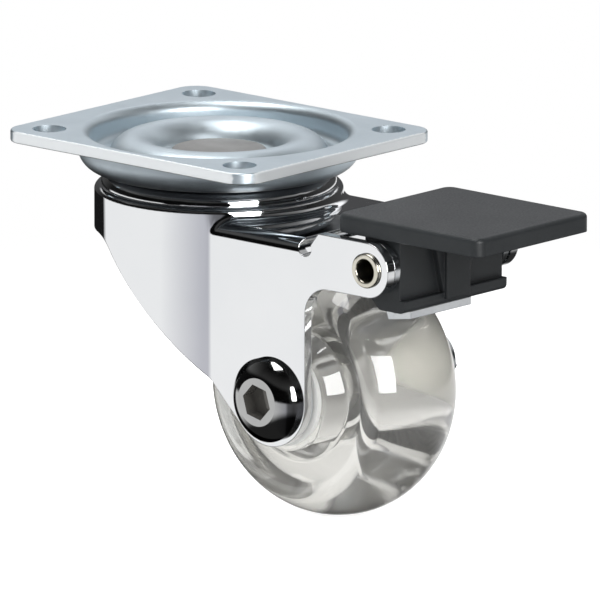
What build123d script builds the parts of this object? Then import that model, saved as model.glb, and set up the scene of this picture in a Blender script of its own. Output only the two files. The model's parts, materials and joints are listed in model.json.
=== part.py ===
from build123d import *
import math
import os

# Swivel castor with a screw-on plate, a one-piece clear wheel and a brake pedal. Millimetres.
# Origin: on the swivel axis, in the top face of the plate. +Z is up, +X runs back to the
# wheel and the pedal, and Y lies along the axle. The screw head is on the -Y side.

os.makedirs("parts", exist_ok=True)

# Top plate
plate_length = 61.5
plate_width = 54.5
plate_thickness = 2.3
plate_corner = 4.5
plate_edge_round = 0.4
hole_pitch_x = 48.0
hole_pitch_y = 42.0
hole_diameter = 6.4
dish_radius = 26.6  # outside of the round pressing
dish_depth = 7.2  # plate top to the underside of the pressing
dish_bend = 4.0  # outside bend at the foot of the pressing
dish_shoulder = 1.8  # bend from the flat border into the pressing
ring_radius = 16.1  # middle of the raised ring, which is the upper ball race
ring_drop = 1.0  # crest of the ring below the plate's top face
ring_foot_round = 1.2

# Swivel bearing
upper_ball = 5.0
upper_ball_count = 18
lower_ball = 4.0
lower_ball_count = 15
lower_ring_radius = 11.2
race_clearance = 0.2  # race radius over ball radius
ball_play = 0.05
crown_gap = 0.5  # plate pressing to fork crown
lower_race_thickness = 1.6
lower_race_flange = 1.4
lower_race_gap = 1.4  # fork crown to the rim of the lower race
kingpin_radius = 5.0
kingpin_shoulder = 6.2
kingpin_clearance = 0.05
kingpin_head_radius = 9.0
kingpin_head_height = 1.3
kingpin_foot_radius = 8.4
kingpin_foot_height = 2.2
kingpin_round = 0.6
crown_hole_clearance = 0.4

# Fork
sheet = 2.0
drum_radius = 23.5  # round wall about the swivel axis
cup_radius = 22.2  # raised round cup on top of the drum
cup_round = 2.3
shoulder_drop = 2.5  # cup top to the shoulder round it
shoulder_round = 1.1
crease_round = 1.6
web_drop = 5.0  # cup top to the flat web behind the cup
web_setback = 1.5  # end of the web ahead of the back of the legs
web_bend = 2.6
bend_margin = 0.05
skirt_depth = 18.5  # lower edge of the wall at the leading end
skirt_turn = 10.0  # where the lower edge turns down to the axle, ahead of the swivel
skirt_round = 7.0
boss_radius = 9.0
leg_corner = 6.0
relief_radius = 1.7

# Wheel and axle
wheel_diameter = 50.0
wheel_width = 25.0
tread_crown = 16.6
trail = 29.0
axle_drop = 44.5
hub_length = 28.4
hub_radius = 10.4
hub_dome = 0.25  # bulge of the hub's flank
hub_valley_radius = 14.2
hub_valley_depth = 1.4  # below the edge of the tread
side_bulge = 0.35
tread_round = 4.0
valley_round = 0.6
hub_round = 1.0
bush_wall = 1.8
bush_flange_radius = 9.4
bush_flange = 1.0
bush_length = 11.0
bush_fit = 0.02
running_fit = 0.06
sleeve_radius = 5.5
screw_radius = 4.0
screw_clearance = 0.15
head_radius = 8.0
head_height = 3.4
head_rim = 1.0
head_dome = 0.35  # bulge of the dome between the rim and the flat
head_flat_radius = 4.6
socket_key = 6.0
socket_depth = 2.8
socket_turn = 17.0  # degrees, where the screw came to rest
thrust_washer = 0.9
thrust_washer_radius = 8.6
axle_play = 0.4  # bush flange to thrust washer
nut_key = 13.0
nut_height = 6.5
nut_collar_radius = 5.6
nut_collar_height = 2.0
nut_washer = 1.4
nut_washer_radius = 8.0
screw_end = 1.2  # thread past the nut
insert_wall = 1.0
edge_break = 0.3

# Brake
pivot_reach = 24.5  # pedal pivot behind the axle
ear_radius = 5.2
rivet_radius = 2.6
rivet_wall = 0.45
rivet_flange_radius = 3.3
rivet_flange = 0.6
rivet_fit = 0.05
lever_gap = 0.3  # ear to lever cheek
lever_sheet = 1.5
lever_inset = 0.2  # lever cheek inside the ear's round end
lever_lead = 5.8  # cross web of the lever ahead of the pivot
brake_play = 0.4  # brake edge to tread with the pedal pressed
pedal_travel = 24.0  # degrees
brake_plate_length = 5.6
brake_plate_width = 17.0
brake_kick = 0.9  # rise of the brake plate towards its back edge
pad_length = 35.5
pad_inset = 0.2  # sides of the pad inside the lever's cheeks
pad_thickness = 3.5
pad_lead = 10.1  # pad ahead of the pivot
pad_top_drop = 7.0
pad_clearance = 0.45  # ear to the underside of the pad
pad_corner = 2.2
pad_round = 0.9
pad_wall = 1.8
pad_skin = 1.9
pad_rib = 1.4
block_gap = 0.3  # lever cheek to pedal block
block_reach = 5.8  # outer face of the block behind the pivot
block_drop = 24.4
block_round = 1.2
block_nose = 3.4  # slope under the block, on the side of the wheel
panel_depth = 1.2
panel_lip = 2.4
panel_gusset = 3.0  # spread of the rib's foot under the pad
block_rib_width = 6.6
block_rib_proud = 0.7

# Heights and places worked out from the sizes above
ring_race = upper_ball / 2 + race_clearance
ring_top = ring_race + plate_thickness
ring_centre_z = -(ring_drop + ring_top)
dish_floor_z = plate_thickness - dish_depth
upper_ball_z = ring_centre_z + ring_race - ball_play - upper_ball / 2
cup_top_z = -(dish_depth + crown_gap)
crown_under_z = cup_top_z - sheet
crown_race_z = upper_ball_z - upper_ball / 2 - ball_play + ring_race
shoulder_z = cup_top_z - shoulder_drop
web_z = cup_top_z - web_drop
lower_ball_z = crown_under_z - ball_play - lower_ball / 2
lower_race_z = crown_under_z - lower_race_gap
lower_race_radius = lower_ball / 2 + race_clearance
lower_race_centre_z = lower_ball_z - ball_play - lower_ball / 2 + lower_race_radius
kingpin_hole = kingpin_radius + kingpin_clearance
wheel_radius = wheel_diameter / 2
fork_width = hub_length + 2 * (bush_flange + axle_play + thrust_washer + sheet)
leg_back = trail + boss_radius
web_end = leg_back - web_setback
pivot_x = trail + pivot_reach
pad_start = pivot_x - pad_lead
lever_front = pivot_x - lever_lead
block_back = lever_front + lever_sheet + block_gap
block_face = pivot_x + block_reach
leg_outer = fork_width / 2
leg_inner = leg_outer - sheet
pivot_z = -(pad_top_drop + pad_thickness + pad_clearance + ear_radius)
axle_z = -axle_drop
lever_outer = leg_inner - lever_gap
lever_inner = lever_outer - lever_sheet
block_half = lever_inner - block_gap
pad_width = 2 * (lever_outer - pad_inset)
bush_bore = sleeve_radius + running_fit
bush_radius = bush_bore + bush_wall
hub_bore = bush_radius + bush_fit
screw_hole = screw_radius + screw_clearance
pad_under_z = -pad_top_drop - pad_thickness

swivel_axis = Axis.Z
section_plane = Plane.XZ
axle_axis = Axis((trail, 0, axle_z), (0, 1, 0))
axle_section = Plane(origin=(trail, 0, axle_z), x_dir=(0, 1, 0), z_dir=(1, 0, 0))
pivot_axis = Axis((pivot_x, 0, pivot_z), (0, 1, 0))
pivot_section = Plane(origin=(pivot_x, 0, pivot_z), x_dir=(0, 1, 0), z_dir=(1, 0, 0))


def finish(piece, name):
    piece.part.label = name
    export_step(piece.part, f"parts/{name}.step")


def across_y(y):
    # Plane normal to the axle at y, with local x along +X and local y along +Z
    return Plane(origin=(0, y, 0), x_dir=(1, 0, 0), z_dir=(0, -1, 0))


# Top plate: flat border with four holes, round pressing, raised ball ring and central well
foot_r = dish_radius - dish_bend
foot_z = dish_bend - dish_depth
wall_r = dish_radius - plate_thickness
ring_half = math.sqrt(ring_top**2 - (dish_floor_z - ring_centre_z) ** 2)
race_half = math.sqrt(ring_race**2 - (-dish_depth - ring_centre_z) ** 2)
half_turn = math.sqrt(0.5)

with BuildPart() as top_plate:
    with BuildSketch(Plane.XY.offset(-plate_thickness)):
        RectangleRounded(plate_length, plate_width, plate_corner)
    extrude(amount=plate_thickness)
    rims = top_plate.faces().filter_by(Axis.Z).edges()
    fillet(rims, radius=plate_edge_round)
    with BuildSketch():
        Circle(dish_radius)
        with GridLocations(hole_pitch_x, hole_pitch_y, 2, 2):
            Circle(hole_diameter / 2)
    extrude(amount=-plate_thickness, mode=Mode.SUBTRACT)
    with BuildSketch(section_plane) as pressing:
        with BuildLine():
            Line((dish_radius, 0), (wall_r + dish_shoulder, 0))
            ThreePointArc(
                (wall_r + dish_shoulder, 0),
                (wall_r + dish_shoulder * (1 - half_turn), -dish_shoulder * (1 - half_turn)),
                (wall_r, -dish_shoulder),
            )
            Line((wall_r, -dish_shoulder), (wall_r, foot_z))
            inner_bend = dish_bend - plate_thickness
            ThreePointArc(
                (wall_r, foot_z),
                (foot_r + inner_bend * half_turn, foot_z - inner_bend * half_turn),
                (foot_r, dish_floor_z),
            )
            Line((foot_r, dish_floor_z), (ring_radius + ring_half, dish_floor_z))
            ThreePointArc(
                (ring_radius + ring_half, dish_floor_z),
                (ring_radius, -ring_drop),
                (ring_radius - ring_half, dish_floor_z),
            )
            Line((ring_radius - ring_half, dish_floor_z), (kingpin_hole, dish_floor_z))
            Line((kingpin_hole, dish_floor_z), (kingpin_hole, -dish_depth))
            Line((kingpin_hole, -dish_depth), (ring_radius - race_half, -dish_depth))
            ThreePointArc(
                (ring_radius - race_half, -dish_depth),
                (ring_radius, ring_centre_z + ring_race),
                (ring_radius + race_half, -dish_depth),
            )
            Line((ring_radius + race_half, -dish_depth), (foot_r, -dish_depth))
            ThreePointArc(
                (foot_r, -dish_depth),
                (foot_r + dish_bend * half_turn, foot_z - dish_bend * half_turn),
                (dish_radius, foot_z),
            )
            Line((dish_radius, foot_z), (dish_radius, 0))
        make_face()
        feet = [
            v
            for v in pressing.vertices()
            if abs(abs(v.X - ring_radius) - ring_half) < 0.01 and abs(v.Y - dish_floor_z) < 0.01
        ]
        fillet(feet, radius=ring_foot_round)
    revolve(axis=swivel_axis)
finish(top_plate, "top_plate")

# Swivel bearing: two rings of balls, the lower race and the riveted kingpin
with BuildPart() as upper_balls:
    with Locations((0, 0, upper_ball_z)):
        with PolarLocations(ring_radius, upper_ball_count):
            Sphere(upper_ball / 2)
finish(upper_balls, "upper_balls")

with BuildPart() as lower_balls:
    with Locations((0, 0, lower_ball_z)):
        with PolarLocations(lower_ring_radius, lower_ball_count):
            Sphere(lower_ball / 2)
finish(lower_balls, "lower_balls")

lower_rise = lower_race_z - lower_race_centre_z
lower_half = math.sqrt(lower_race_radius**2 - lower_rise**2)
lower_shell = lower_race_radius + lower_race_thickness
lower_under_z = lower_race_z - lower_race_thickness
shell_half = math.sqrt(lower_shell**2 - (lower_under_z - lower_race_centre_z) ** 2)
lower_rim = lower_ring_radius + shell_half + lower_race_flange

with BuildPart() as lower_race:
    with BuildSketch(section_plane):
        with BuildLine():
            Line((kingpin_hole, lower_race_z), (lower_ring_radius - lower_half, lower_race_z))
            ThreePointArc(
                (lower_ring_radius - lower_half, lower_race_z),
                (lower_ring_radius, lower_race_centre_z - lower_race_radius),
                (lower_ring_radius + lower_half, lower_race_z),
            )
            Line((lower_ring_radius + lower_half, lower_race_z), (lower_rim, lower_race_z))
            Line((lower_rim, lower_race_z), (lower_rim, lower_under_z))
            Line((lower_rim, lower_under_z), (lower_ring_radius + shell_half, lower_under_z))
            ThreePointArc(
                (lower_ring_radius + shell_half, lower_under_z),
                (lower_ring_radius, lower_race_centre_z - lower_shell),
                (lower_ring_radius - shell_half, lower_under_z),
            )
            Line((lower_ring_radius - shell_half, lower_under_z), (kingpin_hole, lower_under_z))
            Line((kingpin_hole, lower_under_z), (kingpin_hole, lower_race_z))
        make_face()
    revolve(axis=swivel_axis)
finish(lower_race, "lower_race")

head_top_z = dish_floor_z + kingpin_head_height
foot_end_z = lower_under_z - kingpin_foot_height
foot_radius = min(kingpin_foot_radius, lower_ring_radius - shell_half - edge_break)
with BuildPart() as kingpin:
    with BuildSketch(section_plane):
        with BuildLine():
            Polyline(
                (0, head_top_z),
                (kingpin_head_radius, head_top_z),
                (kingpin_head_radius, dish_floor_z),
                (kingpin_radius, dish_floor_z),
                (kingpin_radius, -dish_depth),
                (kingpin_shoulder, -dish_depth),
                (kingpin_shoulder, lower_race_z),
                (kingpin_radius, lower_race_z),
                (kingpin_radius, lower_under_z),
                (foot_radius, lower_under_z),
                (foot_radius, foot_end_z),
                (0, foot_end_z),
                close=True,
            )
        make_face()
    revolve(axis=swivel_axis)
    ends = kingpin.edges().filter_by(GeomType.CIRCLE).group_by(Axis.Z)
    fillet(ends[-1] + ends[0], radius=kingpin_round)
finish(kingpin, "kingpin")

# Fork: one pressed sheet. A round drum with a raised cup, a flat web behind it, two legs
# down to the axle and two ears back to the pedal.
wall_bottom_z = axle_z - 2 * boss_radius
turn = Vector(-skirt_turn, -skirt_depth)
to_axle = Vector(trail, axle_z) - turn
tangent_angle = math.atan2(to_axle.Y, to_axle.X) - math.asin(boss_radius / to_axle.length)
tangent_length = math.sqrt(to_axle.length**2 - boss_radius**2)
tangent = turn + Vector(math.cos(tangent_angle), math.sin(tangent_angle)) * tangent_length
ear_under_z = pivot_z - ear_radius
crown_hole = kingpin_shoulder + crown_hole_clearance

with BuildPart() as fork:
    # Outside of the drum and of the legs, with their bends
    with BuildSketch(Plane.XY.offset(shoulder_z)):
        Circle(drum_radius)
    extrude(amount=wall_bottom_z - shoulder_z)
    with BuildSketch(Plane.YZ):
        with Locations((0, web_z)):
            Rectangle(fork_width, web_z - wall_bottom_z, align=(Align.CENTER, Align.MAX))
        with Locations((0, web_z)):
            Rectangle(fork_width, web_bend, align=(Align.CENTER, Align.MAX), mode=Mode.SUBTRACT)
            RectangleRounded(
                fork_width,
                2 * web_bend,
                web_bend - bend_margin,
                align=(Align.CENTER, Align.MAX),
            )
    extrude(amount=leg_back)
    creases = fork.edges().filter_by(Axis.Z).filter_by_position(Axis.X, 1, drum_radius)
    fillet(creases, radius=crease_round)
    drum_rim = fork.edges().filter_by(GeomType.CIRCLE).group_by(Axis.Z)[-1]
    fillet(drum_rim, radius=shoulder_round)
    # Raised cup for the bearing
    with BuildSketch(Plane.XY.offset(cup_top_z)):
        Circle(cup_radius)
    extrude(amount=web_z - sheet - cup_top_z)
    # Inside of the sheet
    with BuildSketch(Plane.XY.offset(crown_under_z)):
        Circle(cup_radius - sheet)
    extrude(amount=wall_bottom_z - crown_under_z, mode=Mode.SUBTRACT)
    with BuildSketch(Plane.XY.offset(shoulder_z - sheet)):
        Circle(drum_radius - sheet)
    extrude(amount=wall_bottom_z - shoulder_z, mode=Mode.SUBTRACT)
    with BuildSketch(Plane.XY.offset(web_z - sheet)):
        with Locations((leg_back, 0)):
            Rectangle(2 * leg_back, 2 * leg_inner)
    extrude(amount=wall_bottom_z - web_z, mode=Mode.SUBTRACT)
    # Side outline of the leading end, the legs and the axle bosses
    with BuildSketch(Plane.XZ) as outline:
        with BuildLine():
            Polyline(
                (-2 * drum_radius, 0),
                (-2 * drum_radius, -skirt_depth),
                (turn.X, turn.Y),
                (tangent.X, tangent.Y),
                (trail, axle_z),
                (leg_back, axle_z),
                (leg_back, 0),
                close=True,
            )
        make_face()
        with Locations((trail, axle_z)):
            Circle(boss_radius)
        corner = outline.vertices().sort_by_distance((turn.X, turn.Y))[0]
        fillet(corner, radius=skirt_round)
    extrude(amount=2 * drum_radius, both=True, mode=Mode.INTERSECT)
    cup_rim = fork.edges().filter_by(GeomType.CIRCLE).group_by(Axis.Z)[-1]
    fillet(cup_rim, radius=cup_round)
    # Ears, running on from the legs
    for side in (-1, 1):
        with BuildSketch(across_y(side * (leg_inner + sheet / 2))) as ear:
            with BuildLine():
                Polyline(
                    (web_end, ear_under_z - leg_corner),
                    (leg_back, ear_under_z - leg_corner),
                    (leg_back, ear_under_z),
                    (pivot_x, ear_under_z),
                    (pivot_x, pivot_z + ear_radius),
                    (leg_back + 2 * relief_radius, pivot_z + ear_radius),
                    (leg_back, web_z - web_bend),
                    (web_end, web_z - web_bend),
                    close=True,
                )
            make_face()
            with Locations((pivot_x, pivot_z)):
                Circle(ear_radius)
        extrude(amount=sheet / 2, both=True)
    across = fork.edges().filter_by(Axis.Y)
    inner_corners = [
        e
        for e in across
        if abs(e.center().X - leg_back) < 0.01 and abs(e.center().Z - ear_under_z) < 0.01
    ]
    fillet(inner_corners, radius=leg_corner - edge_break)
    # Web end, bend reliefs, pivot holes, axle holes, bearing hole and ball race
    with BuildSketch(Plane.XY):
        with Locations((leg_back + web_end, 0)):
            Rectangle(2 * leg_back, 2 * leg_inner)
    extrude(amount=2 * axle_z, mode=Mode.SUBTRACT)
    with BuildSketch(Plane.XZ):
        with Locations((leg_back, web_z - web_bend / 2)):
            Circle(relief_radius)
        with Locations((pivot_x, pivot_z)):
            Circle(rivet_radius + rivet_fit)
        with Locations((trail, axle_z)):
            Circle(screw_hole)
    extrude(amount=fork_width, both=True, mode=Mode.SUBTRACT)
    with Locations((0, 0, crown_under_z)):
        Cylinder(crown_hole, 4 * sheet, mode=Mode.SUBTRACT)
    with BuildSketch(section_plane):
        with Locations((ring_radius, crown_race_z)):
            Circle(ring_race + sheet)
        with Locations((ring_radius, crown_under_z + sheet / 2)):
            Rectangle(
                4 * ring_race,
                4 * ring_race,
                align=(Align.CENTER, Align.MIN),
                mode=Mode.SUBTRACT,
            )
    revolve(axis=swivel_axis)
    with BuildSketch(section_plane):
        with Locations((ring_radius, crown_race_z)):
            Circle(ring_race)
    revolve(axis=swivel_axis, mode=Mode.SUBTRACT)
finish(fork, "fork")

# Wheel: one clear moulding with a crowned tread, a valley and a sloping hub on each side
hub_half = hub_length / 2
tread_half = wheel_width / 2
crown_centre = wheel_radius - tread_crown
edge_radius = crown_centre + math.sqrt(tread_crown**2 - tread_half**2)
valley_half = tread_half - hub_valley_depth

with BuildPart() as wheel:
    with BuildSketch(axle_section) as half_wheel:
        with BuildLine():
            Line((0, hub_bore), (hub_half, hub_bore))
            Line((hub_half, hub_bore), (hub_half, hub_radius))
            SagittaArc((hub_half, hub_radius), (valley_half, hub_valley_radius), hub_dome)
            SagittaArc((valley_half, hub_valley_radius), (tread_half, edge_radius), side_bulge)
            CenterArc(
                (0, crown_centre),
                tread_crown,
                90 - math.degrees(math.asin(tread_half / tread_crown)),
                math.degrees(math.asin(tread_half / tread_crown)),
            )
            Line((0, wheel_radius), (0, hub_bore))
        make_face()
        edge = half_wheel.vertices().sort_by_distance((tread_half, edge_radius))[0]
        fillet(edge, radius=tread_round)
        valley = half_wheel.vertices().sort_by_distance((valley_half, hub_valley_radius))[0]
        fillet(valley, radius=valley_round)
        rim = half_wheel.vertices().sort_by_distance((hub_half, hub_radius))[0]
        fillet(rim, radius=hub_round)
        mirror(about=Plane.YZ)
    revolve(axis=axle_axis)
finish(wheel, "wheel")


def turned(*outline):
    # Ring turned about the axle from points given as (along the axle, radius)
    with BuildPart() as ring:
        with BuildSketch(axle_section):
            with BuildLine():
                Polyline(*outline, close=True)
            make_face()
        revolve(axis=axle_axis)
    return ring


# Flanged bushes in the hub, the sleeve they run on, and the thrust washers
for side, name in ((-1, "bush_near"), (1, "bush_far")):
    bush = turned(
        (side * (hub_half + bush_flange), bush_bore),
        (side * (hub_half + bush_flange), bush_flange_radius),
        (side * hub_half, bush_flange_radius),
        (side * hub_half, bush_radius),
        (side * (hub_half - bush_length), bush_radius),
        (side * (hub_half - bush_length), bush_bore),
    )
    finish(bush, name)

for side, name in ((-1, "thrust_washer_near"), (1, "thrust_washer_far")):
    washer = turned(
        (side * leg_inner, sleeve_radius + bush_fit),
        (side * leg_inner, thrust_washer_radius),
        (side * (leg_inner - thrust_washer), thrust_washer_radius),
        (side * (leg_inner - thrust_washer), sleeve_radius + bush_fit),
    )
    finish(washer, name)

axle_sleeve = turned(
    (-leg_inner, screw_hole),
    (-leg_inner, sleeve_radius),
    (leg_inner, sleeve_radius),
    (leg_inner, screw_hole),
)
finish(axle_sleeve, "axle_sleeve")

# Axle screw: domed head with a hexagon socket, through both legs
nut_face = leg_outer + nut_washer
nut_end = nut_face + nut_height + nut_collar_height
head_top = -leg_outer - head_height
screw_tip = nut_end + screw_end

with BuildPart() as axle_screw:
    with BuildSketch(axle_section) as screw_half:
        with BuildLine():
            Line((-leg_outer, screw_radius), (-leg_outer, head_radius))
            Line((-leg_outer, head_radius), (-leg_outer - head_rim, head_radius))
            SagittaArc((-leg_outer - head_rim, head_radius), (head_top, head_flat_radius), -head_dome)
            Line((head_top, head_flat_radius), (head_top, 0))
            Polyline(
                (head_top, 0),
                (screw_tip, 0),
                (screw_tip, screw_radius - edge_break),
                (screw_tip - edge_break, screw_radius),
                (-leg_outer, screw_radius),
            )
        make_face()
    revolve(axis=axle_axis)
    with BuildSketch(across_y(head_top)):
        with Locations((trail, axle_z)):
            RegularPolygon(socket_key / 2, 6, major_radius=False, rotation=30 + socket_turn)
    extrude(amount=-socket_depth, mode=Mode.SUBTRACT)
finish(axle_screw, "axle_screw")

# Lock nut on the far side, with its washer and nylon insert
nut_bore = screw_radius + bush_fit
insert_radius = nut_bore + insert_wall
nut_washer_ring = turned(
    (leg_outer, screw_hole),
    (leg_outer, nut_washer_radius),
    (nut_face, nut_washer_radius),
    (nut_face, screw_hole),
)
finish(nut_washer_ring, "nut_washer")

with BuildPart() as axle_nut:
    with BuildSketch(across_y(nut_face)):
        with Locations((trail, axle_z)):
            RegularPolygon(nut_key / 2, 6, major_radius=False)
    extrude(amount=-nut_height)
    with BuildSketch(across_y(nut_face)):
        with Locations((trail, axle_z)):
            Circle(nut_collar_radius)
    extrude(amount=-nut_height - nut_collar_height)
    collar_rim = axle_nut.edges().filter_by(GeomType.CIRCLE).group_by(Axis.Y)[-1]
    fillet(collar_rim, radius=edge_break)
    with BuildSketch(across_y(nut_face)):
        with Locations((trail, axle_z)):
            Circle(nut_bore)
    extrude(amount=-nut_height - nut_collar_height, mode=Mode.SUBTRACT)
    with BuildSketch(across_y(nut_end - edge_break)):
        with Locations((trail, axle_z)):
            Circle(insert_radius)
    extrude(amount=nut_collar_height, mode=Mode.SUBTRACT)
    with BuildSketch(across_y(nut_end - edge_break)):
        with Locations((trail, axle_z)):
            Circle(insert_radius - edge_break)
    extrude(amount=-2 * edge_break, mode=Mode.SUBTRACT)
finish(axle_nut, "axle_nut")

insert_start = nut_end - edge_break - nut_collar_height
nut_insert = turned(
    (insert_start, nut_bore),
    (insert_start, insert_radius - bush_fit),
    (nut_end - edge_break, insert_radius - bush_fit),
    (nut_end - edge_break, nut_bore),
)
finish(nut_insert, "nut_insert")

# Brake: steel lever between the ears, plastic pedal in it, hollow rivet through all
reach = math.hypot(pivot_x - trail, pivot_z - axle_z) - wheel_radius - brake_play
rest_angle = math.atan2(pivot_x - trail, pivot_z - axle_z) - math.radians(pedal_travel)
brake_edge_x = pivot_x - reach * math.sin(rest_angle)
brake_under_z = pivot_z - reach * math.cos(rest_angle)
brake_back_x = brake_edge_x + brake_plate_length
rivet_hole = rivet_radius + rivet_fit
lever_round = ear_radius - lever_inset
lever_low_z = pivot_z - lever_round

with BuildPart() as brake_lever:
    # Two round cheeks, joined on the side of the wheel by a cross web
    for side in (-1, 1):
        with BuildSketch(across_y(side * (lever_inner + lever_sheet / 2))):
            with Locations((pivot_x, pivot_z)):
                Circle(lever_round)
                Rectangle(lever_lead, lever_round, align=(Align.MAX, Align.MAX))
        extrude(amount=lever_sheet / 2, both=True)
    with BuildSketch(Plane.XZ):
        with Locations((lever_front, pivot_z)):
            Rectangle(lever_sheet, lever_round, align=(Align.MIN, Align.MAX))
    extrude(amount=lever_outer, both=True)
    bends = brake_lever.edges().filter_by(Axis.Z).group_by(Axis.X)[0].sort_by(Axis.Y)
    fillet([bends[0], bends[-1]], radius=lever_sheet - edge_break)
    # Tongue down to the brake edge and back under the block
    with BuildSketch(Plane.XZ):
        with BuildLine():
            Polyline(
                (lever_front, lever_low_z),
                (lever_front + lever_sheet, lever_low_z),
                (brake_edge_x + lever_sheet, brake_under_z + lever_sheet),
                (brake_back_x, brake_under_z + lever_sheet + brake_kick),
                (brake_back_x, brake_under_z + brake_kick),
                (brake_edge_x, brake_under_z),
                close=True,
            )
        make_face()
    extrude(amount=brake_plate_width / 2, both=True)
    brake_edge = brake_lever.edges().filter_by(Axis.Y).group_by(Axis.Z)[0]
    fillet(brake_edge, radius=edge_break)
    with BuildSketch(Plane.XZ):
        with Locations((pivot_x, pivot_z)):
            Circle(rivet_hole)
    extrude(amount=fork_width, both=True, mode=Mode.SUBTRACT)
finish(brake_lever, "brake_lever")

with BuildPart() as brake_rivet:
    with BuildSketch(pivot_section):
        with BuildLine():
            Polyline(
                (-leg_outer, rivet_radius),
                (-leg_outer, rivet_flange_radius),
                (-leg_outer - rivet_flange, rivet_flange_radius),
                (-leg_outer - rivet_flange, rivet_radius - rivet_wall),
                (leg_outer + rivet_flange, rivet_radius - rivet_wall),
                (leg_outer + rivet_flange, rivet_flange_radius),
                (leg_outer, rivet_flange_radius),
                (leg_outer, rivet_radius),
                close=True,
            )
        make_face()
    revolve(axis=pivot_axis)
    rims = brake_rivet.edges().filter_by(GeomType.CIRCLE).group_by(Axis.Y)
    fillet(rims[0] + rims[-1], radius=rivet_wall / 2)
finish(brake_rivet, "brake_rivet")

# Pedal: flat pad over a block that fills the lever, hollow from below
block_front = block_face - panel_depth
with BuildPart() as brake_pedal:
    with BuildSketch(Plane.XY.offset(pad_under_z)):
        with Locations((pad_start, 0)):
            Rectangle(pad_length, pad_width, align=(Align.MIN, Align.CENTER))
    extrude(amount=pad_thickness)
    fillet(brake_pedal.edges().filter_by(Axis.Z), radius=pad_corner)
    fillet(brake_pedal.faces().sort_by(Axis.Z)[-1].edges(), radius=pad_round)
    # Hollow underside with two ribs out to the free end
    with BuildSketch(Plane.XY.offset(pad_under_z)):
        with Locations((pad_start + pad_wall, 0)):
            Rectangle(pad_length - 2 * pad_wall, pad_width - 2 * pad_wall, align=(Align.MIN, Align.CENTER))
        with Locations((pad_start, block_rib_width), (pad_start, -block_rib_width)):
            Rectangle(pad_length, pad_rib, align=(Align.MIN, Align.CENTER), mode=Mode.SUBTRACT)
    extrude(amount=pad_thickness - pad_skin, mode=Mode.SUBTRACT)
    # Block round the rivet
    with BuildSketch(Plane.XZ) as block:
        with BuildLine():
            Polyline(
                (block_back, pad_under_z + pad_thickness - pad_skin),
                (block_face, pad_under_z + pad_thickness - pad_skin),
                (block_face, -block_drop),
                (block_back + block_nose, -block_drop),
                (block_back, -block_drop + block_nose),
                close=True,
            )
        make_face()
        lower = block.vertices().group_by(Axis.Y)[0]
        fillet(lower, radius=block_round)
    extrude(amount=block_half, both=True)
    # Two shallow panels on the outer face, open at the sides, with a rib between them and a lip below
    panel_low_z = panel_lip - block_drop
    rib_half = block_rib_width / 2
    for side in (-1, 1):
        with BuildSketch(Plane.YZ.offset(block_front)):
            with BuildLine():
                Polyline(
                    (side * (rib_half + panel_gusset), pad_under_z),
                    (side * block_half, pad_under_z),
                    (side * block_half, panel_low_z),
                    (side * rib_half, panel_low_z),
                    close=True,
                )
            make_face()
        extrude(amount=panel_depth, mode=Mode.SUBTRACT)
    with BuildSketch(Plane.YZ.offset(block_face)):
        with Locations((0, pad_under_z)):
            rib_height = block_drop + pad_under_z - block_round
            Rectangle(block_rib_width, rib_height, align=(Align.CENTER, Align.MAX))
    extrude(amount=block_rib_proud)
    with BuildSketch(Plane.XZ):
        with Locations((pivot_x, pivot_z)):
            Circle(rivet_hole)
    extrude(amount=fork_width, both=True, mode=Mode.SUBTRACT)
finish(brake_pedal, "brake_pedal")
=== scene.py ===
import json
import math

import bmesh
import bpy
import numpy as np
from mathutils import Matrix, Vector


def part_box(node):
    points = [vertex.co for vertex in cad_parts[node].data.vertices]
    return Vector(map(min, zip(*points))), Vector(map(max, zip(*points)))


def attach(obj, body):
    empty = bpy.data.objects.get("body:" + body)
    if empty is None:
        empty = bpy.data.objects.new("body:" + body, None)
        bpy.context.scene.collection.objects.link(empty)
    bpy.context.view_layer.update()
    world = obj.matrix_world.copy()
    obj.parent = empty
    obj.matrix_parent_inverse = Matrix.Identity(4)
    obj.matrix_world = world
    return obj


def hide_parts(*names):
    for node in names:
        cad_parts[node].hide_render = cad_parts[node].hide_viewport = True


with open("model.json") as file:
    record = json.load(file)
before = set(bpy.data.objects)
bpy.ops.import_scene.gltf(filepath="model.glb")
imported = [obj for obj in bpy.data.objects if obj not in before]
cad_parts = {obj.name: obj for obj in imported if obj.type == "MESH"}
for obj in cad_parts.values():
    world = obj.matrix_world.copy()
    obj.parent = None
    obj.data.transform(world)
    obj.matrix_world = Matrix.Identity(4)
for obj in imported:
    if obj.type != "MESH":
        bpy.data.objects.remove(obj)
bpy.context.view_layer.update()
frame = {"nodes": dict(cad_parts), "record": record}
nodes = frame["nodes"]
slotOf = {part["node"]: part["material_slot"] for part in frame["record"]["subparts"]}
bodyOf = {n: body for body, members in frame["record"]["behaviour"]["bodies"].items() for n in members}
scene = bpy.context.scene
scene.view_settings.view_transform = "Standard"
mm = 0.001

# Camera: a nearly parallel view from a little above the level of the plate, right and up in millimetres
cameraAt = dict(
    azimuth=41.7, elevation=12.8, distance=3.76, near=0.01, lens=1200.0, sensor=36.0, right=15.226, up=-32.14
)
turn, rise = math.radians(cameraAt["azimuth"]), math.radians(cameraAt["elevation"])
viewBack = Vector((math.sin(turn) * math.cos(rise), -math.cos(turn) * math.cos(rise), math.sin(rise)))
viewRight = Vector((math.cos(turn), math.sin(turn), 0))
viewUp = viewBack.cross(viewRight)
camera = bpy.data.objects.new("camera", bpy.data.cameras.new("camera"))
scene.collection.objects.link(camera)
camera.data.lens = cameraAt["lens"]
camera.data.sensor_width = cameraAt["sensor"]
camera.data.clip_start = cameraAt["near"]
target = viewRight * cameraAt["right"] * mm + viewUp * cameraAt["up"] * mm
camera.location = target + viewBack * cameraAt["distance"]
camera.rotation_euler = (-viewBack).to_track_quat("-Z", "Y").to_euler()
scene.camera = camera
print("camera set")


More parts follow.
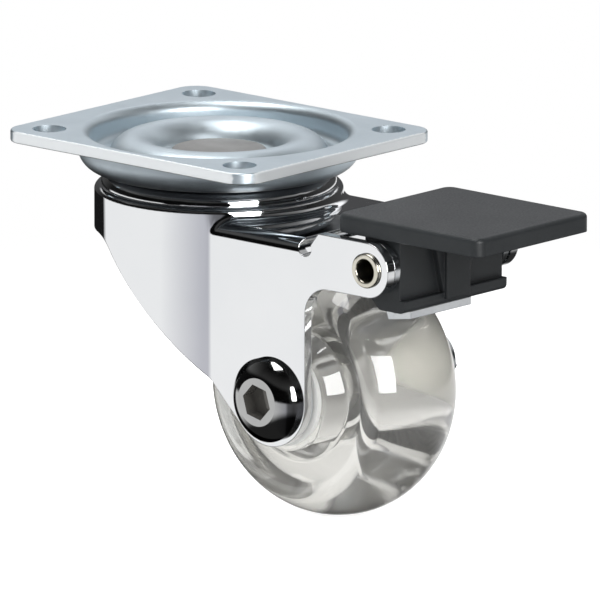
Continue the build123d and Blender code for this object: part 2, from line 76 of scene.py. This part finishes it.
def addNode(tree, kind, inputs=None, **settings):
    node = tree.nodes.new(kind)
    for key, value in settings.items():
        setattr(node, key, value)  # before the inputs, because a type changes the sockets
    for key, value in (inputs or {}).items():
        if hasattr(value, "is_output"):
            tree.links.new(value, node.inputs[key])
        else:
            node.inputs[key].default_value = value
    return node


def maths(tree, operation, *values):
    return addNode(tree, "ShaderNodeMath", dict(enumerate(values)), operation=operation).outputs[0]


def vectorMaths(tree, operation, *values):
    node = addNode(tree, "ShaderNodeVectorMath", dict(enumerate(values)), operation=operation)
    return node.outputs["Value" if operation in ("DOT_PRODUCT", "LENGTH") else "Vector"]


def axisOf(tree, vector, axis):
    return addNode(tree, "ShaderNodeSeparateXYZ", {0: vector}).outputs[axis]


# Carries a value from one span to another, clamped at its ends
def fitSpan(tree, value, source, result=(0.0, 1.0), smooth=False):
    inputs = {0: value, 1: source[0], 2: source[1], 3: result[0], 4: result[1]}
    kind = "SMOOTHSTEP" if smooth else "LINEAR"
    return addNode(tree, "ShaderNodeMapRange", inputs, interpolation_type=kind).outputs[0]


def mixColours(tree, factor, first, second):
    return addNode(tree, "ShaderNodeMix", {0: factor, 6: first, 7: second}, data_type="RGBA").outputs[2]


def mixShaders(tree, factor, first, second):
    return addNode(tree, "ShaderNodeMixShader", {0: factor, 1: first, 2: second}).outputs[0]


def noise(tree, place, scale, detail):
    inputs = {"Vector": place, "Scale": scale, "Detail": detail}
    return addNode(tree, "ShaderNodeTexNoise", inputs).outputs["Fac"]


def ramp(tree, factor, stops):
    node = addNode(tree, "ShaderNodeValToRGB", {0: factor})
    elements = node.color_ramp.elements
    while len(elements) < len(stops):
        elements.new(0.5)
    for element, (place, colour) in zip(elements, stops):
        element.position = place
        element.color = (*colour, 1)
    return node.outputs[0]


# Studio: white to the camera, and rings of walls for what the metal mirrors and the clear wheel shows.
# A stop is a place round the ring, a grey and its share of blue: 0 and 1 lie straight behind the object,
# 0.25 on its right, 0.5 on the camera's side and 0.75 on its left.
studioRings = dict(
    # mirrored below the horizon: white walls, an unlit side towards the camera and a black flag at the back
    low=[
        (0.0, 0.93),
        (0.22, 0.8),
        (0.34, 0.25, 1.05),
        (0.46, 0.08, 1.05),
        (0.515, 0.16, 1.08),
        (0.54, 0.55, 1.08),
        (0.655, 0.93),
        (0.86, 0.93),
        (0.875, 0.01),
        (0.985, 0.01),
        (1.0, 0.93),
    ],
    # mirrored above it: lit at the back alone
    high=[
        (0.0, 0.9, 1.03),
        (0.14, 0.6),
        (0.26, 0.15),
        (0.4, 0.03),
        (0.72, 0.03),
        (0.86, 0.12),
        (0.93, 0.7),
        (1.0, 0.9, 1.03),
    ],
    # seen through the wheel above the table
    clear=[
        (0.0, 0.95),
        (0.08, 0.8),
        (0.18, 0.3),
        (0.22, 0.12),
        (0.36, 0.12),
        (0.45, 0.4),
        (0.55, 0.7),
        (0.7, 0.75),
        (0.84, 0.75),
        (0.86, 0.1, 1.25),
        (0.9, 0.1, 1.25),
        (0.93, 0.95),
    ],
    # seen through the wheel below that: a table that is white at the back and slate on the left
    table=[
        (0.0, 0.95),
        (0.08, 0.8),
        (0.18, 0.42),
        (0.5, 0.45),
        (0.66, 0.3),
        (0.72, 0.05, 1.6),
        (0.92, 0.05, 1.6),
        (0.945, 0.95),
    ],
)
# Heights of the view's direction over which the walls change, and the strengths below and above each
studioHeights = dict(
    horizon=((-0.16, -0.09), (0.0, 1.0)),
    card=((0.26, 0.4), (0.08, 1.5)),  # a dark card stands just above the horizon
    ceiling=((0.45, 0.8), (1.0, 0.1)),
    ground=((-0.62, -0.36), (0.03, 1.0)),
    table=((-0.5, -0.1), (0.0, 1.0)),
)
softLight = dict(colour=(0.97, 0.98, 1.0, 1), strength=0.6)
world = bpy.data.worlds.new("studio")
scene.world = world
world.use_nodes = True
sky = world.node_tree
sky.nodes.clear()
direction = addNode(sky, "ShaderNodeTexCoord").outputs["Generated"]
level = viewBack.to_2d().normalized()
towards = vectorMaths(sky, "DOT_PRODUCT", direction, (level.x, level.y, 0))
leftward = vectorMaths(sky, "DOT_PRODUCT", direction, tuple(-viewRight))
roundRing = fitSpan(sky, maths(sky, "ARCTAN2", leftward, towards), (-math.pi, math.pi))
height = axisOf(sky, direction, "Z")


def grey(value, blue=1.0):
    return (value, value, value * blue)


walls = {
    name: ramp(sky, roundRing, [(place, grey(*shade)) for place, *shade in stops])
    for name, stops in studioRings.items()
}
bands = {
    name: fitSpan(sky, height, *spans, smooth=name != "ceiling") for name, spans in studioHeights.items()
}
upper = vectorMaths(sky, "MULTIPLY", walls["high"], bands["card"])
ring = mixColours(sky, bands["horizon"], walls["low"], upper)
mirrored = vectorMaths(sky, "MULTIPLY", ring, maths(sky, "MULTIPLY", bands["ceiling"], bands["ground"]))
through = mixColours(sky, bands["table"], walls["table"], walls["clear"])


def background(colour, strength=1.0):
    return addNode(sky, "ShaderNodeBackground", {"Color": colour, "Strength": strength}).outputs[0]


rays = addNode(sky, "ShaderNodeLightPath").outputs
seen = background(softLight["colour"], softLight["strength"])
for ray, colour in (
    ("Is Glossy Ray", mirrored),
    ("Transmission Depth", through),
    ("Is Camera Ray", (1, 1, 1, 1)),
):
    seen = mixShaders(sky, rays[ray], seen, background(colour))
addNode(sky, "ShaderNodeOutputWorld", {"Surface": seen})

# Lamps: bearings from the middle of the object, in metres and watts. One lights the mirrors alone, and two
# are hidden from them.
softboxes = dict(
    windowRight=dict(bearing=(0.9, -0.42, 0.24), distance=0.7, size=(0.36, 0.36), power=5.0, onMatt=False),
    rightBox=dict(bearing=(0.9, -0.42, 0.5), distance=0.8, size=(0.4, 0.4), power=2.0, onMirrors=False),
    topBox=dict(bearing=(-0.2, -0.15, 1.0), distance=0.7, size=(0.6, 0.3), power=3.0),
    leftBox=dict(bearing=(-0.8, -0.75, 0.5), distance=0.9, size=(0.5, 0.5), power=3.0, onMirrors=False),
)
lampAim = Vector((20, 0, -35)) * mm


def softbox(name, bearing, distance, size, power, onMirrors=True, onMatt=True):
    lamp = bpy.data.objects.new(name, bpy.data.lights.new(name, "AREA"))
    lamp.data.shape = "RECTANGLE"
    lamp.data.size, lamp.data.size_y = size
    lamp.data.energy = power
    outward = Vector(bearing).normalized()
    lamp.location = lampAim + outward * distance
    lamp.rotation_euler = (-outward).to_track_quat("-Z", "Y").to_euler()
    lamp.visible_camera = False
    lamp.visible_glossy = onMirrors
    lamp.visible_diffuse = onMatt
    lamp.visible_transmission = onMirrors and not onMatt  # only the mirrors' own lamp shows in the wheel
    scene.collection.objects.link(lamp)


for name, settings in softboxes.items():
    softbox(name, **settings)
print("studio set")

# Floor: a pale disc that fades out at its edge, with the object's shadow on it
floorForm = dict(radius=0.24, fade=0.12, x=0.03, z=-69.55 * mm, steps=128, shade=(0.9, 0.9, 0.9, 1), glow=0.8)
around = np.linspace(0, 2 * np.pi, floorForm["steps"], endpoint=False)
floorRing = np.stack([np.cos(around), np.sin(around), np.zeros_like(around)], axis=1) * floorForm["radius"]
floorRing += (floorForm["x"], 0, floorForm["z"])
floorMesh = bpy.data.meshes.new("floor")
floorMesh.from_pydata(floorRing.tolist(), [], [tuple(range(floorForm["steps"]))])
floor = bpy.data.objects.new("floor", floorMesh)
scene.collection.objects.link(floor)
floor.visible_glossy = False  # metal and glass show the walls of the studio instead
floor.visible_transmission = False
paper = bpy.data.materials.new("floorPaper")
paper.use_nodes = True
tree = paper.node_tree
tree.nodes.clear()
rays = addNode(tree, "ShaderNodeLightPath").outputs
direct = maths(tree, "MAXIMUM", rays["Is Camera Ray"], rays["Is Glossy Ray"])
direct = maths(tree, "MAXIMUM", direct, rays["Is Transmission Ray"])
matte = addNode(tree, "ShaderNodeBsdfDiffuse", {"Color": floorForm["shade"]}).outputs[0]
glow = addNode(tree, "ShaderNodeEmission", {"Color": (1, 1, 1, 1), "Strength": floorForm["glow"]}).outputs[0]
lit = addNode(tree, "ShaderNodeAddShader", {0: matte, 1: glow}).outputs[0]
place = addNode(tree, "ShaderNodeTexCoord").outputs["Object"]
centred = vectorMaths(tree, "ADD", place, (-floorForm["x"], 0, -floorForm["z"]))
reach = vectorMaths(tree, "LENGTH", centred)
fade = fitSpan(tree, reach, (floorForm["fade"], floorForm["radius"]), smooth=True)
fromBelow = addNode(tree, "ShaderNodeNewGeometry").outputs["Backfacing"]
clear = addNode(tree, "ShaderNodeBsdfTransparent").outputs[0]
faded = mixShaders(tree, maths(tree, "MAXIMUM", fade, fromBelow), mixShaders(tree, direct, matte, lit), clear)
addNode(tree, "ShaderNodeOutputMaterial", {"Surface": faded})
floorMesh.materials.append(paper)
print("floor set")


# Finishes: two near shades mixed by cloudy noise, roughness between two limits, and a fine bump, all on
# object coordinates in metres. A worn edge is rounded in the shading alone, by a radius in millimetres.
noiseSpan = (0.3, 0.7)  # most of a noise's values lie between these
grainDepth = 0.02 * mm


def finish(name, shades, rough, metallic=1.0, cloud=120.0, grain=900.0, bump=0.05, edge=0.0, **sockets):
    material = bpy.data.materials.new(name)
    material.use_nodes = True
    tree = material.node_tree
    shader = tree.nodes["Principled BSDF"]
    place = addNode(tree, "ShaderNodeTexCoord").outputs["Object"]
    clouds = noise(tree, place, cloud, detail=4.0)
    grains = noise(tree, place, grain, detail=3.0)
    colour = ramp(tree, clouds, list(zip(noiseSpan, shades)))
    relief = addNode(tree, "ShaderNodeBump", {"Strength": bump, "Distance": grainDepth, "Height": grains})
    if edge:
        worn = addNode(tree, "ShaderNodeBevel", {"Radius": edge * mm}, samples=6)
        tree.links.new(worn.outputs[0], relief.inputs["Normal"])
    tree.links.new(colour, shader.inputs["Base Color"])
    tree.links.new(fitSpan(tree, grains, noiseSpan, rough), shader.inputs["Roughness"])
    tree.links.new(relief.outputs[0], shader.inputs["Normal"])
    shader.inputs["Metallic"].default_value = metallic
    for key, value in sockets.items():
        shader.inputs[key].default_value = value
    return material


# Lays another colour over a finish where a mask is 1, and another share of metal if one is given
def overlay(material, mask, colour, metal=None):
    tree = material.node_tree
    shader = tree.nodes["Principled BSDF"]
    under = shader.inputs["Base Color"].links[0].from_socket
    tree.links.new(mixColours(tree, mask, under, colour), shader.inputs["Base Color"])
    if metal is not None:
        tree.links.new(fitSpan(tree, mask, (0.0, 1.0), (1.0, metal)), shader.inputs["Metallic"])


plateZinc = finish("plateZinc", ((0.60, 0.68, 0.73), (0.66, 0.74, 0.79)), (0.42, 0.48), grain=500.0, bump=0.02)
zincSteel = finish("zincSteel", ((0.62, 0.64, 0.66), (0.70, 0.72, 0.74)), (0.18, 0.22), bump=0.02, edge=0.2)
kingpinSteel = finish("kingpinSteel", ((0.30, 0.297, 0.29), (0.42, 0.417, 0.41)), (0.5, 0.6), bump=0.1)
forkChrome = finish(
    "forkChrome",
    ((0.84, 0.855, 0.87), (0.89, 0.90, 0.91)),
    (0.03, 0.06),
    cloud=40.0,
    grain=160.0,
    bump=0.03,
    edge=0.25,
)
screwChrome = finish("screwChrome", ((0.42, 0.425, 0.42), (0.50, 0.505, 0.50)), (0.05, 0.1), bump=0.04)
rivetNickel = finish("rivetNickel", ((0.68, 0.65, 0.55), (0.76, 0.73, 0.64)), (0.14, 0.22), edge=0.3)
ballSteel = finish("ballSteel", ((0.66, 0.67, 0.68), (0.74, 0.75, 0.76)), (0.06, 0.12), bump=0.02)
clearWheel = finish(
    "clearWheel",
    ((0.93, 0.92, 0.87), (0.96, 0.95, 0.91)),
    (0.05, 0.07),
    metallic=0.0,
    cloud=60.0,
    grain=220.0,
    bump=0.02,
    **{"Transmission Weight": 0.86, "IOR": 1.45, "Coat Weight": 0.6, "Coat Roughness": 0.02},
)
bushNylon = finish(
    "bushNylon", ((0.80, 0.80, 0.77), (0.87, 0.87, 0.84)), (0.38, 0.5), metallic=0.0, bump=0.1
)
insertNylon = finish(
    "insertNylon", ((0.74, 0.76, 0.80), (0.82, 0.84, 0.87)), (0.4, 0.55), metallic=0.0, bump=0.1
)
pedalPlastic = finish(
    "pedalPlastic",
    ((0.021, 0.024, 0.026), (0.028, 0.031, 0.033)),
    (0.4, 0.5),
    metallic=0.0,
    grain=2600.0,
    bump=0.2,
    edge=0.35,
    **{"Specular IOR Level": 0.32},
)

# The plate's sheared rim is brighter than its faces, past these half sizes and with a ragged start, and its
# underside has painted shade: darker from where the dish starts to turn under
plateRim = dict(
    x=30.45, y=26.95, ragged=0.5, streaks=1400.0, start=(0.2, 0.4), colour=(0.90, 0.93, 0.94, 1), metal=0.5
)
# painted shade: faces that turn downwards are painted dark
plateUnderShade = dict(turned=(-0.45, -0.85), colour=(0.09, 0.1, 0.11, 1))
tree = plateZinc.node_tree
coords = addNode(tree, "ShaderNodeTexCoord").outputs
streaks = noise(tree, coords["Object"], plateRim["streaks"], detail=2.0)
past = []
for axis in "XY":
    span = maths(tree, "ABSOLUTE", axisOf(tree, coords["Object"], axis))
    past.append(maths(tree, "SUBTRACT", span, plateRim[axis.lower()] * mm))
pastEither = maths(tree, "MAXIMUM", *past)
ragged = maths(tree, "MULTIPLY_ADD", streaks, plateRim["ragged"] * mm, pastEither)
onRim = fitSpan(tree, ragged, [limit * mm for limit in plateRim["start"]])
overlay(plateZinc, onRim, plateRim["colour"], plateRim["metal"])
# painted shade on the underside, growing as the normal points further down
undersideShade = fitSpan(tree, axisOf(tree, coords["Normal"], "Z"), plateUnderShade["turned"])
overlay(plateZinc, undersideShade, plateUnderShade["colour"])

bySlot = dict(
    plate_zinc=plateZinc,
    ball_steel=ballSteel,
    zinc_steel=zincSteel,
    fork_chrome=forkChrome,
    screw_chrome=screwChrome,
    rivet_nickel=rivetNickel,
    clear_wheel=clearWheel,
    bush_nylon=bushNylon,
    insert_nylon=insertNylon,
    pedal_plastic=pedalPlastic,
)
finishOf = {name: bySlot[slotOf[name]] for name in nodes}
finishOf["kingpin"] = kingpinSteel  # its riveted end is duller than the other zinc pieces
for name, node in nodes.items():
    node.data.materials.clear()
    node.data.materials.append(finishOf[name])
print("finishes set")

weldReach = 0.001 * mm


# Puts a mesh in as a piece that stands for a CAD node: its points welded, its true edges kept sharp, and
# its normals weighted by area so that flats stay flat beside their rounds
def addPiece(mesh, nodeName, sharpAngle):
    piece = bpy.data.objects.new(mesh.name, mesh)
    scene.collection.objects.link(piece)
    work = bmesh.new()
    work.from_mesh(mesh)
    bmesh.ops.remove_doubles(work, verts=work.verts, dist=weldReach)
    for face in work.faces:
        face.smooth = True
    limit = math.radians(sharpAngle)
    for edge in work.edges:
        edge.smooth = len(edge.link_faces) == 2 and edge.calc_face_angle(0.0) < limit
    work.to_mesh(mesh)
    work.free()
    if mesh.attributes.get("custom_normal"):
        mesh.attributes.remove(mesh.attributes["custom_normal"])
    weighted = piece.modifiers.new("areaNormals", "WEIGHTED_NORMAL")
    weighted.keep_sharp = True
    weighted.mode = "FACE_AREA"
    weighted.weight = 50
    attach(piece, bodyOf[nodeName])
    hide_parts(nodeName)


# Skins: a smooth copy of each CAD node, apart from the two pieces that are made below
skinForm = dict(sharpAngle=24.0, made=("wheel", "axle_screw"))
for name in nodes:
    if name not in skinForm["made"]:
        first, *others = name.split("_")
        skin = nodes[name].data.copy()
        skin.name = first + "".join(word.capitalize() for word in others) + "Skin"
        addPiece(skin, name, skinForm["sharpAngle"])
print("skins set")


# Middle of a box, and half its size, in millimetres
def middleAndHalf(box):
    low, high = (np.array(corner) / mm for corner in box)
    return (low + high) / 2, (high - low) / 2


axle, wheelHalf = middleAndHalf(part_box("wheel"))


# Rings of points about the axle: x = radius cos(angle), z = radius sin(angle), y = along, with one row of
# radius and along for each ring. The first and last rings close on a point each, or on each other where
# the section is a loop.
def turnedMesh(name, radius, along, angles, loop):
    rings, count = radius.shape
    points = np.stack([radius * np.cos(angles), along, radius * np.sin(angles)], axis=-1) + axle
    verts = points.reshape(-1, 3) * mm
    ring = np.arange(rings if loop else rings - 1)[:, None]
    step = np.arange(count)[None, :]
    after, beyond = (step + 1) % count, (ring + 1) % rings
    corners = (ring * count + step, ring * count + after, beyond * count + after, beyond * count + step)
    faces = np.stack(np.broadcast_arrays(*corners), axis=-1).reshape(-1, 4).tolist()
    if not loop:
        for start, way in ((0, -1), ((rings - 1) * count, 1)):
            rim = (start + np.arange(count))[::way]
            fan = np.stack([rim, np.roll(rim, -1), np.full(count, len(verts))], axis=1)
            faces += fan.tolist()
            verts = np.vstack([verts, verts[start : start + count].mean(axis=0)])
    mesh = bpy.data.meshes.new(name)
    mesh.from_pydata(verts.tolist(), [], faces)
    return mesh


# Points (along, radius) of an arc
def arc(centre, radius, start, end, count):
    angle = np.linspace(start, end, count)
    return np.stack([centre[0] + radius * np.cos(angle), centre[1] + radius * np.sin(angle)], axis=1)


# Corner of two straight stretches rounded by an arc: the arc's points from one stretch to the other
def roundedCorner(before, at, after, radius, count):
    back, ahead = (np.subtract(p, at) / np.linalg.norm(np.subtract(p, at)) for p in (before, after))
    halfAngle = math.acos(np.clip(back @ ahead, -1, 1)) / 2
    middle = (back + ahead) / np.linalg.norm(back + ahead)
    centre = np.add(at, middle * radius / math.sin(halfAngle))
    spokes = [np.add(at, way * radius / math.tan(halfAngle)) - centre for way in (back, ahead)]
    start, end = (math.atan2(spoke[1], spoke[0]) for spoke in spokes)
    end = start + (end - start + math.pi) % (2 * math.pi) - math.pi
    return arc(centre, radius, start, end, count)


# Clear wheel: half of its section as (along, radius), from the middle of the bore round to the top of
# the tread, whose crown is an arc that a rim arc joins to the side. The side leaves the valley towards
# where the crown would reach the tread's half width.
wheelForm = dict(
    bore=7.38,
    hub=10.4,
    hubRound=1.0,
    valley=13.0,
    valleyHalf=10.9,
    valleyRound=0.8,
    treadHalf=12.5,
    crown=16.6,
    rim=4.0,
    roundSteps=10,
    rimSteps=24,
    crownSteps=30,
    turnSteps=256,
    sharpAngle=40.0,
)
hubHalf, treadTop = wheelHalf[1], wheelHalf[2]
crownAt = np.array((0.0, treadTop - wheelForm["crown"]))
treadRise = math.sqrt(wheelForm["crown"] ** 2 - wheelForm["treadHalf"] ** 2)
treadEdge = (wheelForm["treadHalf"], crownAt[1] + treadRise)
faceAt, hubAt = (hubHalf, wheelForm["bore"]), (hubHalf, wheelForm["hub"])
valleyAt = (wheelForm["valleyHalf"], wheelForm["valley"])
side = np.subtract(treadEdge, valleyAt)
side /= np.linalg.norm(side)
inward = np.array((-side[1], side[0]))
# The rim arc's centre lies its radius inside the side and inside the crown: |offset + s side| = crown - rim
offset = np.add(valleyAt, inward * wheelForm["rim"]) - crownAt
lead = offset @ side
sideLength = -lead + math.sqrt(lead**2 - offset @ offset + (wheelForm["crown"] - wheelForm["rim"]) ** 2)
rimAt = crownAt + offset + sideLength * side
fromSide = math.atan2(-inward[1], -inward[0])
toCrown = math.atan2(*(rimAt - crownAt)[::-1])
halfSection = np.vstack(
    [
        [(0.0, wheelForm["bore"]), faceAt],
        roundedCorner(faceAt, hubAt, valleyAt, wheelForm["hubRound"], wheelForm["roundSteps"]),
        roundedCorner(hubAt, valleyAt, treadEdge, wheelForm["valleyRound"], wheelForm["roundSteps"]),
        arc(rimAt, wheelForm["rim"], fromSide, toCrown, wheelForm["rimSteps"]),
        arc(crownAt, wheelForm["crown"], toCrown, math.pi / 2, wheelForm["crownSteps"])[1:],
    ]
)
section = np.vstack([halfSection, (halfSection[1:-1] * (-1, 1))[::-1]])
angles = np.linspace(0, 2 * np.pi, wheelForm["turnSteps"], endpoint=False)
along, radius = (np.repeat(section[:, [k]], wheelForm["turnSteps"], axis=1) for k in (0, 1))
wheelMesh = turnedMesh("wheelSkin", radius, along, angles, loop=True)
wheelMesh.materials.append(finishOf["wheel"])
addPiece(wheelMesh, "wheel", wheelForm["sharpAngle"])
print("wheel set")

# Axle screw: the hexagon's radius is key/2 / cos(a), with a the angle from the middle of its nearest
# side, and the thread's radius falls by depth * |2 f - 1| with f the turn about the axle plus y / pitch
screwForm = dict(
    face=-18.5,
    rim=1.0,
    dome=0.35,
    domeSteps=14,
    flat=4.6,
    key=6.0,
    socket=2.8,
    turn=47.0,
    radius=4.0,
    threadFrom=27.5,
    threadRunIn=0.1,
    pitch=1.25,
    depth=0.35,
    threadSteps=30,
    tipBack=0.3,
    tipIn=0.5,
    turnSteps=192,
    sharpAngle=12.0,
)
screwMiddle, screwHalf = middleAndHalf(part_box("axle_screw"))
headRadius = screwHalf[2]
headTop, tip = (screwMiddle[1] + way * screwHalf[1] - axle[1] for way in (-1, 1))
rimEdge = screwForm["face"] - screwForm["rim"]
fromCorner = np.linspace(0, 2 * np.pi, screwForm["turnSteps"], endpoint=False)
angles = math.radians(screwForm["turn"]) + fromCorner
hexagon = screwForm["key"] / 2 / np.cos(fromCorner % (math.pi / 3) - math.pi / 6)
# Dome: a chord from the rim to the flat, raised by 4 dome t (1 - t) square to it
t = np.linspace(0, 1, screwForm["domeSteps"])[::-1]
chord = np.array((headTop - rimEdge, screwForm["flat"] - headRadius))
square = np.array((chord[1], -chord[0])) / np.linalg.norm(chord)
domed = np.array((rimEdge, headRadius)) + t[:, None] * chord
domed += 4 * screwForm["dome"] * (t * (1 - t))[:, None] * square
threadStart = screwForm["threadFrom"] + screwForm["threadRunIn"]
thread = np.linspace(threadStart, tip - screwForm["tipBack"], screwForm["threadSteps"])
turnsIn = (thread[:, None] / screwForm["pitch"] + angles / (2 * np.pi)) % 1
ridge = screwForm["radius"] - screwForm["depth"] * np.abs(2 * turnsIn - 1)
ones = np.ones(screwForm["turnSteps"])
rows = [(hexagon, headTop + screwForm["socket"]), (hexagon, headTop)]
rows += [(r * ones, y) for y, r in domed]
rows += [(headRadius * ones, screwForm["face"])]
rows += [(screwForm["radius"] * ones, y) for y in (screwForm["face"], screwForm["threadFrom"])]
rows += list(zip(ridge, thread))
rows += [((screwForm["radius"] - screwForm["tipIn"]) * ones, tip)]
radius, along = np.stack([r for r, y in rows]), np.stack([y * ones for r, y in rows])
screwMesh = turnedMesh("axleScrewSkin", radius, along, angles, loop=False)
screwMesh.materials.append(finishOf["axle_screw"])
addPiece(screwMesh, "axle_screw", screwForm["sharpAngle"])

# Painted shade in the socket: the surface past the head's top and inside the hexagon's corners is painted dark
# and less metallic
socketShade = dict(start=(0.05, 0.15), margin=0.1, colour=(0.13, 0.125, 0.115, 1), metal=0.35)
tree = screwChrome.node_tree
place = addNode(tree, "ShaderNodeTexCoord").outputs["Object"]
fromAxle = vectorMaths(tree, "ADD", place, tuple(-axle * mm))
deep = fitSpan(tree, axisOf(tree, fromAxle, "Y"), [(headTop + depth) * mm for depth in socketShade["start"]])
outward = vectorMaths(tree, "LENGTH", vectorMaths(tree, "MULTIPLY", fromAxle, (1, 0, 1)))
corners = hexagon.max()
inside = fitSpan(tree, outward, (corners * mm, (corners + socketShade["margin"]) * mm), (1.0, 0.0))
# the socket's painted shade is laid over the chrome
overlay(screwChrome, maths(tree, "MULTIPLY", deep, inside), socketShade["colour"], socketShade["metal"])
print("screw set")
